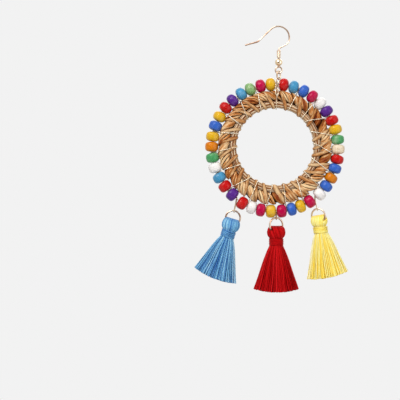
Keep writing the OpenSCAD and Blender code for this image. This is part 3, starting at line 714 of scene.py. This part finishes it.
def build_leaves():
    """The leaves that are wound round the roll, between the straps, and the filling under them, coloured dark as
    painted shade in the gaps.
    """
    leaves = Shape()
    u = np.linspace(0, 360, LEAF_POINTS, endpoint=False)
    section = on_roll(u, 0)
    out = outward(section)
    front = np.abs(np.sin(rad(u)))
    outer_side = np.clip(np.cos(rad(u)), 0, 1) ** 2
    starts = [at for at, _ in STRAPS]
    places = []
    for at, after in zip(starts, starts[1:] + [starts[0] + 360]):
        gap = after - at
        count = 2 if gap > LEAF_SPLIT_GAP else 1
        places += [(at - LEAF_AHEAD + gap * (k + 0.5) / count, gap / count) for k in range(count)]
    for middle, gap in places:
        slant = np.interp(middle % 360, SLANT_ANGLES, SLANTS) * between(0.9, 1.15)
        start = middle - slant / 2 + between(-0.5, 0.5)
        angle = start + slant * np.clip((ROLL_OUT_R - section[:, 0]) / ROLL_W, 0, 1) ** 0.7
        path, up = swollen(angle, section), turned(out, angle)
        wide = np.clip(0.225 * gap, 1.7, 3.0)
        if CHANCE.rand() < FOLDED_LEAVES:
            crown = 0.36 * between(0.85, 1.15)
            tilt = between(-0.12, 0.12) + 0.05 * ripple(u / 360, 2)
            pleats = [(between(0.14, 0.22), between(2, 3.2)), (0.05, between(5, 8))]
            lift = -0.04 + 0.14 * outer_side + 0.03 * ripple(u / 360, 3)
            ribbon(leaves, path, up, (wide + 0.5) * (0.5 + 0.5 * front**0.8), lift, crown, pleats, tilt,
                   between(0.25, 0.75), 0.1)
        else:
            spread = (wide - 0.4) * (0.45 + 0.55 * front**0.8)
            lift = -0.2 + 0.04 * front + 0.14 * outer_side + 0.03 * ripple(u / 360, 3)
            plies(leaves, path, up, spread, max(2, int(round(wide / PLY_PITCH))), PLY_THICK * (0.8 + 0.22 * front),
                  lift, 0.2, between(0.25, 0.75))
    leaves.build("raffia_leaves", LEAF, "drop", "raffia_roll")

    # Painted shade: a dark filling inside the roll and along its seam with the straw bundle
    core = Shape()
    turns = np.arange(0, 360, 1.5)[:, None]
    core.grid(swollen(turns, on_roll(np.arange(0, 360, 15), -0.42)), wrap_rows=True, tint=0.4)
    a = rad(np.arange(0, 360, 30))
    core.grid(on_ring(turns, RING_IN_R + BAND_W + 0.05 + 0.9 * np.cos(a), 0.75 * np.sin(a)), wrap_rows=True, tint=0.2)
    core.build("raffia_shade_filling", SHADE_CORE, "drop", slot="raffia_roll")
    return leaves, core


def build_straps():
    """The strips that cross from the roll's outer edge over the straw bundle and back behind it."""
    straps = Shape()
    section = smooth_loop(np.concatenate([
        on_roll([0, 28, 58, 88, 118], 0.05),
        on_band([84, 112, 145, 180, 215, 248, 276], 0.12),
        on_roll([242, 272, 302, 332], 0.05),
    ]), STRAP_POINTS)
    out = outward(section)
    share = np.clip((section[:, 0] - RING_IN_R) / (ROLL_OUT_R - RING_IN_R), 0, 1)
    around = np.arange(STRAP_POINTS) / STRAP_POINTS
    body = 1 - 0.45 * np.exp(-(((share - 1) / 0.16) ** 2)) - 0.16 * np.exp(-((share / 0.12) ** 2))
    for at, scale in STRAPS:
        lean = STRAP_LEAN * between(0.88, 1.12)
        angle = at - lean * share + 0.35 * ripple(around, 3)
        width = STRAP_W * scale * body * between(0.94, 1.08)
        lift = 0.02 + 0.16 * np.exp(-(((share - 0.72) / 0.22) ** 2)) + 0.02 * ripple(around, 4)
        crown = 0.3 * between(0.85, 1.15)
        tilt = np.full(STRAP_POINTS, between(-0.06, 0.06))
        pleats = [(between(0.1, 0.16), between(1.6, 2.6)), (0.04, between(4, 6))]
        ribbon(straps, swollen(angle, section), turned(out, angle), width, lift, crown, pleats, tilt,
               between(0.25, 0.8), 0.12)
    straps.build("raffia_crossings", STRAP, "drop", "raffia_straps")
    return straps


def build_straw():
    """The inner bundle of straws that runs round the ring, with painted shade on each straw's flanks and a dark
    filling under them.
    """
    bundle = Shape()
    turns = np.linspace(0, 360, STRAW_POINTS, endpoint=False)
    share = turns / 360
    for i in range(STRAW_COUNT):
        u = 360 * (i + 0.5) / STRAW_COUNT + between(-2, 2) + 5 * ripple(share, 6)
        thick = STRAW_THICK * between(0.85, 1.2) * (1 + 0.12 * ripple(share, 9))
        path = on_ring(turns, *on_band(u, -0.3 + between(-0.05, 0.08) + 0.05 * ripple(share, 7)).T)
        facing = turned(joined(np.cos(rad(u)), -np.sin(rad(u))), turns)
        # Painted shade on each straw's flanks that face into the bundle
        tube(bundle, path, thick, Y_AXIS, 8, closed=True, tint=CHANCE.rand(), out=facing)
    # A dark sheet under the straws: painted shade seen between them
    filling = on_ring(turns[:, None], *on_band(np.arange(0, 360, 12), -0.45).T)
    bundle.grid(filling, wrap_rows=True, tint=0.3, edge=0.8)
    bundle.build("straw_bundle", STRAW, "drop", "straw_band")
    return bundle


# ---------- beads ----------
BEAD_COLS, BEAD_ROWS, BEAD_PLAY = 44, 30, 0.02
TOP_BEAD_POWER, BEAD_POWER, TOP_BEADS = 2.5, 2.95, 0.45
BEAD_MOUTH = [0.97, 0.86, 0.2]


def bead_places():
    """Angle and radius of each bead, as in the CAD."""
    extra = math.degrees((LASH_GAP - PAIR_GAP) / BEAD_PITCH_R)
    places = []
    for first, last, count, lashed_first, sag_a, sag_b, bow, push in BEAD_RUNS:
        gaps = count - 1
        pair = (last - first - (gaps + lashed_first) // 2 * extra) / gaps
        for i in range(count):
            angle = first + i * pair + (i + lashed_first) // 2 * extra + push * sin(pi * i / gaps)
            places.append((angle, BEAD_PITCH_R + (sag_a + (i / gaps) ** bow * (sag_b - sag_a)) * BEAD_D))
    return np.array(places).T


BEAD_ANGLES, BEAD_RADII = bead_places()
SAG_ANGLES = np.concatenate([[-BEAD_ANGLES[0]], BEAD_ANGLES, [360 + BEAD_ANGLES[0]]])
SAG_DEPTHS = np.concatenate([[0], BEAD_RADII - BEAD_PITCH_R, [0]])


def wire_radius(angle):
    """Radius of the bead wire at an angle."""
    return np.interp(angle, BEAD_ANGLES, BEAD_RADII, period=360)


def build_beads():
    """Beads with a superellipse for outline, rounder at the ring's top, none longer than its place allows."""
    gaps = np.diff(BEAD_ANGLES, append=BEAD_ANGLES[0] + 360)
    fat, bore = BEAD_D / 2, BEAD_BORE_D / 2
    a = circle(BEAD_COLS)
    for i, (angle, r) in enumerate(zip(BEAD_ANGLES, BEAD_RADII)):
        room = r * math.tan(rad(min(gaps[i - 1], gaps[i])) / 2) - BEAD_PLAY
        half = min(BEAD_SHOWN_L / 2 * between(0.97, 1.0), room)
        power = (TOP_BEAD_POWER if cos(rad(angle)) > TOP_BEADS else BEAD_POWER) * between(0.97, 1.1)
        end = half * (1 - (bore * 1.25 / fat) ** power) ** (1 / power)
        x = end * np.sin(np.linspace(-1, 1, BEAD_ROWS) * pi / 2)
        rise = fat * (1 - np.clip(np.abs(x) / half, 0, 1) ** power) ** (1 / power)
        mouth = end * np.array(BEAD_MOUTH)
        x = np.concatenate([-mouth[::-1], x, mouth])
        rise = np.concatenate([[bore, bore, bore * 1.07], rise, [bore * 1.07, bore, bore]])
        # Painted shade at the mouth of the bore and inside it
        inner = np.concatenate([[1, 1, 0.9], np.zeros(BEAD_ROWS), [0.9, 1, 1]])
        lump = 1 + 0.012 * ripple(a / (2 * pi), 3) + 0.01 * (
            ripple((x + half) / BEAD_L * 0.5, 2)[:, None] * np.cos(a + between(0, 6)))
        rise = rise[:, None] * (np.minimum(lump, 1.002) - 0.004)
        t = rad(angle) + rad(between(-1.3, 1.3))
        east, up = np.array([cos(t), 0, -sin(t)]), np.array([sin(t), 0, cos(t)])
        points = on_ring(angle, r, 0) + x[:, None, None] * east + (rise * np.cos(a))[..., None] * np.array(Y_AXIS) \
            + (rise * np.sin(a))[..., None] * up
        bead = Shape()
        bead.grid(points, tint=CHANCE.rand(), edge=inner[:, None])
        name, colour = f"bead_{i + 1:02d}", BEAD_COLOURS[i]
        bead.build("turned_" + name, BEAD_MATERIALS[colour], "drop", name, "paint_" + colour)


# ---------- wires ----------
LASH_OFF, LASH_REACH, LASH_TWIST, LASH_THREAD_R, LASH_SPREAD = 0.29, 0.42, 1.15, 0.105, 0.1
# How far off a lashing's path the ground is looked for, how high over it the wire lies, and how far it may be moved
PROBE_UP, PROBE_LONG, LAID_OVER, MOST_DOWN, MOST_UP = 1.4, 3.2, 0.17, -0.45, 0.6


def build_wires(ground):
    """The wire that the beads are threaded on, and the twisted lashings that tie it to the ring."""
    thread = Shape()
    angles = np.arange(0, 360, 1.0)
    tube(thread, on_ring(angles, wire_radius(angles), 0), BEAD_WIRE_D / 2, Y_AXIS, 8, closed=True)
    thread.build("bead_thread_wire", THIN_WIRE, "drop", "bead_wire")

    last_x, last_y, last_z = CHAIN_POINTS[-1]
    top_angle = 360 + math.degrees(math.asin((last_x - RING_X) / ROLL_MID_R))
    hold_r = last_z - RING_Z - (CHAIN_WIRE + LINK_GAP) / 2
    wires = Shape()
    lashed = np.append((BEAD_ANGLES[1:-1:2] + BEAD_ANGLES[2::2]) / 2, top_angle)
    for angle, lean in zip(lashed, LASH_LEANS):
        r_out = wire_radius(angle)
        front = on_roll([22, 52, 82, 112, 138], LASH_OFF)
        if angle == top_angle:
            front[1:4] = [(hold_r + 0.85, last_y + 0.15), (hold_r, last_y - CHAIN_WIRE / 2 - LASH_OFF - SEAT_GAP),
                          (hold_r - 0.85, last_y + 0.25)]
        section = smooth_loop(np.concatenate([
            [[r_out + LASH_REACH, 0], [r_out, -LASH_REACH]], front, on_band([84, 110, 145, 180, 215, 250, 276], 0.6),
            on_roll([222, 248, 278, 308, 338], LASH_OFF), [[r_out, LASH_REACH]],
        ]), 200)
        out = outward(section)
        turn = angle + lean * (np.maximum(0, ROLL_OUT_R - section[:, 0]) / (ROLL_OUT_R - RING_IN_R))
        section[:, 0] += swell(turn, section[:, 0]) * (section[:, 0] < ROLL_OUT_R + 0.3)
        path, up = on_ring(turn, *section.T), turned(out, turn)
        if angle != top_angle:
            path = settle(path, up, section, ground)
        wrap = joined(np.cos(rad(turn)), np.zeros(len(turn)), -np.sin(rad(turn)))
        _, u, v = frame_along(path, wrap, True)
        twists = round(lengths(path)[-1] / LASH_TWIST)
        for start in (0, pi):
            a = (2 * pi * twists * np.arange(len(path)) / len(path) + start)[:, None]
            strand = path + LASH_SPREAD * (np.cos(a) * u + np.sin(a) * v)
            tube(wires, strand, LASH_THREAD_R, wrap, 6, closed=True, tint=CHANCE.rand())
    wires.build("twisted_lashings", THIN_WIRE, "drop", "wire_lashings")


def settle(path, up, section, ground):
    """A taut wire laid on what is under it: each point is moved along its outward direction."""
    lift = np.full(len(path), np.nan)
    for i in range(len(path)):
        if section[i, 0] > ROLL_OUT_R + 1.1:
            lift[i] = 0
            continue
        hit, _, _, distance = ground.ray_cast(Vector(path[i] + up[i] * PROBE_UP), Vector(-up[i]), PROBE_LONG)
        if hit is not None:
            lift[i] = PROBE_UP - distance + LAID_OVER
    known = ~np.isnan(lift)
    at = np.arange(len(path))
    lift = np.interp(at, at[known], lift[known])
    high = np.max([np.roll(lift, k) for k in range(-3, 4)], axis=0)
    soft = np.mean([np.roll(high, k) for k in range(-3, 4)], axis=0)
    return path + up * np.clip(soft, MOST_DOWN, MOST_UP)[:, None]


# ---------- tassels ----------
# Half width and half depth of a head as shares of its largest, at shares of its height
HEAD_DEPTH = np.array([0.0, 0.03, 0.1, 0.25, 0.5, 0.78, 1.0])
HEAD_HALF_W = np.array([0.66, 0.72, 0.82, 0.93, 1.0, 0.93, 0.7])
HEAD_HALF_T = np.array([0.16, 0.4, 0.64, 0.88, 1.0, 0.96, 0.8])
# How far a skirt has opened at shares of its length
FLARE_AT = [-0.1, 0, 0.05, 0.16, 0.36, 0.6, 0.82, 1]
FLARE = [0, 0.02, 0.09, 0.22, 0.42, 0.63, 0.83, 1]
HEAD_LOOPS, SKIRT_THREADS, SKIRT_LOCKS, LOCK_PULL, BINDING_TURNS = 40, 520, 16, 0.17, 9
GOLDEN_ANGLE = 2.39996
# Where a jump ring lies on a head's front: how wide it presses, and how low the press starts and grows
PRESS_W, PRESS_LOW, PRESS_FADE = 0.62, 2.35, 0.5


def hang_frame(gap_angle, link_l, lean, tilt):
    """The link's frame and the tassel's frame, as in the CAD: each frame is its middle and its axes."""
    def axes(a):
        t = rad(a)
        return np.array([[cos(t), 0, sin(t)], [0, 1, 0], [-sin(t), 0, cos(t)]])

    point = on_ring(gap_angle, wire_radius(gap_angle), 0)
    top = (CONNECTOR_WIRE + BEAD_WIRE_D) / 2 + LINK_GAP + SEAT_GAP
    below = link_l - 1.5 * CONNECTOR_WIRE - top - LINK_GAP - TASSEL_RING_WIRE / 2 + JUMP_R
    link_axes = axes(lean)
    link = point + link_axes.T @ (0, 0, top + CONNECTOR_WIRE / 2 - link_l / 2)
    middle = point + link_axes.T @ (0, 0, -below)
    return link, link_axes, middle, axes(tilt)


def head_half(depth, table, size):
    """Half width or depth of a head at shares of its height, smoothly."""
    near = [np.interp(depth + k * 0.025, HEAD_DEPTH, table) for k in (-2, -1, 0, 1, 2)]
    return np.mean(near, axis=0) * size / 2


def behind_ring(points, turn, thick):
    """A head's threads, pushed back where the jump ring lies on its front."""
    if abs(turn) < 0.1:
        return points
    z = np.clip(points[:, 2], -JUMP_R, 0)
    reach = np.sqrt(np.maximum(JUMP_R**2 - z**2, 0))
    side = -1 if turn > 0 else 1
    x, y = side * reach * cos(turn), side * reach * sin(turn)
    near = np.exp(-(((points[:, 0] - x) / PRESS_W) ** 4)) * np.clip((points[:, 2] + PRESS_LOW) / PRESS_FADE, 0, 1)
    back = y + TASSEL_RING_WIRE / 2 + thick + 0.05
    moved = points.copy()
    moved[:, 1] = np.where(points[:, 1] < back, points[:, 1] + near * (back - points[:, 1]), points[:, 1])
    return moved


def build_tassel(colour, gap_angle, link_l, lean, tilt, link_turn, ring_turn, long, wide_share, size, rise,
                 cut_slant, slant, cross):
    link, link_axes, middle, rows = hang_frame(gap_angle, link_l, lean, tilt)
    head_w, head_t, head_h, binding_h = HEAD_W * size, HEAD_T * size, HEAD_H * size, BINDING_H * size
    crown_z = HEAD_TOP + rise * TASSEL_RING_D
    neck_z = crown_z - head_h
    skirt_top = neck_z - binding_h
    skirt_l, skirt_w = SKIRT_L * long, SKIRT_W * wide_share

    def thread(shape, path, radius, ref, sides, out=None, **values):
        """A tube in the tassel's own frame."""
        out = None if out is None else out @ rows
        tube(shape, path @ rows + middle, radius, ref, sides, out=out, **values)

    def built(shape, name, material, node):
        shape.build(f"{colour}_{name}", material, "drop", f"{colour}_{node}")

    shape = Shape()
    path, normal = oval_link((0, 0, 0), CONNECTOR_W, CONNECTOR_WIRE, link_l, 90 + link_turn, 56)
    tube(shape, path @ link_axes + link, CONNECTOR_WIRE / 2, normal @ link_axes, 12, closed=True)
    built(shape, "oval_link", PALE_GOLD, "connector")

    shape = Shape()
    cut = rad(between(60, 70))
    a = np.linspace(cut + 0.02, cut + 2 * pi - 0.02, 90)
    t = rad(ring_turn)
    path = joined(JUMP_R * np.cos(a) * cos(t), JUMP_R * np.cos(a) * sin(t), JUMP_R * np.sin(a))
    thread(shape, path, TASSEL_RING_WIRE / 2, np.array([-sin(t), cos(t), 0]) @ rows, 14)
    built(shape, "jump_ring", ROSE, "ring")

    floss = Shape()
    for i in range(HEAD_LOOPS):
        share = -1 + 2 * (i + 0.5) / HEAD_LOOPS
        theta = 0.55 * math.asin(share) + 0.45 * pi / 2 * share + between(-0.02, 0.02)
        depth = np.concatenate([np.linspace(1.12, 0.12, 18), [0.07, 0.03, 0.0]])
        halves = []
        for side in (-1, 1):
            twist = theta + slant * (depth - 0.1) * -side
            x = head_half(depth, HEAD_HALF_W, head_w) * np.sin(twist)
            y = side * head_half(depth, HEAD_HALF_T, head_t) * np.cos(twist)
            halves.append(joined(x, y, crown_z - 0.24 - depth * (head_h - 0.24))[::-side])
        path = np.concatenate(halves)
        path[:, :2] *= 0.945
        path[:, 0] += 0.04 * ripple(np.linspace(0, 1, len(path)), 3)
        share = np.concatenate([depth, depth[::-1]])
        thick = 0.14 + 0.07 * np.sin(np.clip(share, 0, 1) * pi) ** 0.7
        path = behind_ring(path, t, thick)
        # Painted shade on each loop's flanks
        thread(floss, path, thick * between(0.94, 1.08), rows[0], 6, path * (1, 1.4, 0) + (0, 0, 1e-3),
               tint=0.02 + 0.6 * CHANCE.rand())
    depth = np.linspace(0.04, 1.1, 14)[:, None]
    a = circle(36)
    x = head_half(depth, HEAD_HALF_W, head_w) * 0.9 * np.cos(a)
    y = head_half(depth, HEAD_HALF_T, head_t) * 0.88 * np.sin(a)
    core = joined(x, y, crown_z - 0.3 - depth * (head_h - 0.3) + 0 * a)
    core = behind_ring(core.reshape(-1, 3), t, 0.3).reshape(core.shape)
    # A dark sheet inside the head: painted shade seen between its loops
    floss.grid(core @ rows + middle, tint=0.4, edge=0.8)

    def skirt(rho, phi, s, span):
        """Points of a thread that leaves the neck at rho and phi, at shares s of its length."""
        opened = np.interp(s, FLARE_AT, FLARE)
        wide = (NECK_D / 2 - 0.1 + opened * (skirt_w - NECK_D - 0.1) / 2) * rho
        deep = (NECK_D / 2 - 0.1 + opened * (SKIRT_T - NECK_D - 0.6) / 2) * rho
        x, y = wide * np.cos(phi), deep * np.sin(phi)
        out = np.hypot(x - NECK_D / 2 * rho * np.cos(phi), y - NECK_D / 2 * rho * np.sin(phi))
        z = skirt_top - np.sign(s) * np.sqrt(np.maximum((s * span) ** 2 - out**2, 0.0))
        return joined(x, y, z)

    streaks = ripple(np.linspace(0, 1, 361), 34)
    streaks = np.clip(0.5 + streaks / (3 * streaks.std()), 0, 1)
    s = np.concatenate([[-0.1, -0.03], np.linspace(0.02, 1, 11)])
    down = np.clip(s, 0, 1)
    for i in range(SKIRT_THREADS):
        rho = math.sqrt((i + 0.5) / SKIRT_THREADS)
        phi = i * GOLDEN_ANGLE + between(-0.05, 0.05)
        nearest = round(phi / (2 * pi) * SKIRT_LOCKS) * 2 * pi / SKIRT_LOCKS
        bent = phi + (nearest - phi) * LOCK_PULL * down**1.2
        path = skirt(rho, bent, s, skirt_l * (1 + cut_slant * rho * cos(phi) + between(-0.02, 0.004)))
        for axis in (0, 1):
            path[:, axis] += 0.16 * down * ripple(down * 0.8, 2)
        facing = joined(np.cos(bent), 1.6 * np.sin(bent), np.zeros(len(s)))
        streak = np.interp(math.degrees(phi) % 360, np.arange(361), streaks)
        # Painted shade on each thread's flanks, and more on threads deeper in the bundle
        thread(floss, path, (0.165 + 0.06 * down) * between(0.9, 1.1), rows[1], 6, facing,
               tint=0.65 * streak + 0.35 * CHANCE.rand(), edge=float(np.clip((0.86 - rho) * 1.2, 0, 0.6)))
    s = np.append(np.linspace(-0.08, 0.97, 12), 0.975)
    phi = circle(40)
    inner = [skirt(0.9 if at < 0.972 else 0.02, phi, np.full(40, at), skirt_l * (1 + cut_slant * np.cos(phi)))
             for at in s]
    # A dark form inside the skirt: painted shade seen between its threads
    floss.grid(np.stack(inner) @ rows + middle, tint=0.4, edge=0.75)
    built(floss, "floss", FLOSS[colour], "tassel")

    shape = Shape()
    s = np.linspace(0, 1, 48 * BINDING_TURNS)
    a = s * BINDING_TURNS * 2 * pi + CHANCE.rand() * 6
    wave = (0.03 + cross) * np.sin(a * 0.5 + 1.1) * np.sin(s * pi) ** 0.5
    r = NECK_D / 2 + 0.18 + 0.05 * np.sin(a * 0.31) + 0.12 * cross * np.sin(a * 0.5)
    path = joined(r * np.cos(a), r * np.sin(a), neck_z - 0.25 - s * (binding_h - 0.5) + wave)
    # Painted shade on the turns' flanks, and a darker tint the more the turns cross
    thread(shape, path, 0.2, rows[2], 8, path * (1, 1, 0), tint=0.28 - 0.4 * cross)
    built(shape, "winding", FLOSS[colour], "binding")


# ---------- make it ----------
build_hook()
build_links()
shapes = [*build_leaves(), build_straps(), build_straw()]
build_beads()
verts, quads, base = [], [], 0
for shape in shapes:
    v, q = shape.arrays()
    verts.append(v)
    quads.append(q + base)
    base += len(v)
build_wires(BVHTree.FromPolygons(np.concatenate(verts).tolist(), np.concatenate(quads).tolist()))
for row in TASSELS:
    build_tassel(*row)

# ---------- stage ----------
scene = bpy.context.scene
scene.view_settings.view_transform = "Standard"
scene.view_settings.look = "None"
BACKDROP = 0.888
SKY_STRENGTH = 0.45
SKY_LOW, SKY_HIGH = (0.72, 0.7, 0.68, 1), grey(1)
TENT, OPENING, OPENING_AT = (0.86, 0.85, 0.83, 1), (0.1, 0.08, 0.07, 1), (0.0, -0.95, -0.31)

world = bpy.data.worlds.new("studio")
scene.world = world
world.use_nodes = True
world.node_tree.nodes.clear()
sky = Nodes(world.node_tree)


def background(colour, strength=1.0):
    return sky.node("ShaderNodeBackground", [("Color", colour), ("Strength", strength)]).outputs[0]


way = sky.node("ShaderNodeTexCoord").outputs["Generated"]
height = sky.node("ShaderNodeSeparateXYZ", [(0, way)]).outputs["Z"]
light = background(sky.ramp(height, (0.0, SKY_LOW), (0.5, SKY_HIGH)), SKY_STRENGTH)
# Metal mirrors a bright tent with a dark opening in front, a little below
near_opening = sky.node("ShaderNodeVectorMath", [(0, way), (1, OPENING_AT)], operation="DOT_PRODUCT").outputs["Value"]
mirrored = background(sky.ramp(near_opening, (0.72, TENT), (0.9, OPENING)))
ray = sky.node("ShaderNodeLightPath").outputs
lit = sky.node("ShaderNodeMixShader", [(0, ray["Is Glossy Ray"]), (1, light), (2, mirrored)]).outputs[0]
seen = sky.node("ShaderNodeMixShader", [(0, ray["Is Camera Ray"]), (1, lit), (2, background(grey(BACKDROP)))])
sky.node("ShaderNodeOutputWorld", [(0, seen.outputs[0])])

AIM = Vector((0.0, 0.0, -0.055))
SOFTBOXES = [
    ("key", (-0.35, -0.55, 0.5), 0.65, 6.9),
    ("fill", (0.6, -0.5, -0.05), 0.8, 2.4),
    ("bounce", (-0.05, -0.4, -0.5), 0.7, 0.8),
    ("rim", (0.1, 0.6, 0.4), 0.7, 1.6),
]
for name, at, size, power in SOFTBOXES:
    data = bpy.data.lights.new(name, "AREA")
    data.shape, data.size, data.energy = "DISK", size, power
    lamp = add(name, data)
    lamp.location = at
    lamp.rotation_euler = (AIM - Vector(at)).to_track_quat("-Z", "Y").to_euler()

FLOOR_R, FLOOR_Z, FLOOR_CORNERS = 0.24, -0.27, 96
floor_mesh = bpy.data.meshes.new("floor")
rim = [(FLOOR_R * cos(a), FLOOR_R * sin(a), 0) for a in circle(FLOOR_CORNERS)]
floor_mesh.from_pydata(rim, [], [list(range(FLOOR_CORNERS))])
floor_mesh.materials.append(Paint("floor_paper", Roughness=0.9, Base_Color=grey(0.82)).mat)
floor = add("floor", floor_mesh)
floor.location = (0, 0, FLOOR_Z)

# The photograph's middle lies at this point of the earring's plane, and the picture is 160 mm wide there
PHOTO_MIDDLE = (-0.03132, -0.06912)
PHOTO_WIDTH, LENS, SENSOR = 0.16, 100, 36
camera_data = bpy.data.cameras.new("camera")
camera_data.lens, camera_data.sensor_width = LENS, SENSOR
camera_data.clip_start, camera_data.clip_end = 0.01, 10
camera = add("camera", camera_data)
camera.location = (PHOTO_MIDDLE[0], -PHOTO_WIDTH * LENS / SENSOR, PHOTO_MIDDLE[1])
camera.rotation_euler = (pi / 2, 0, 0)
scene.camera = camera
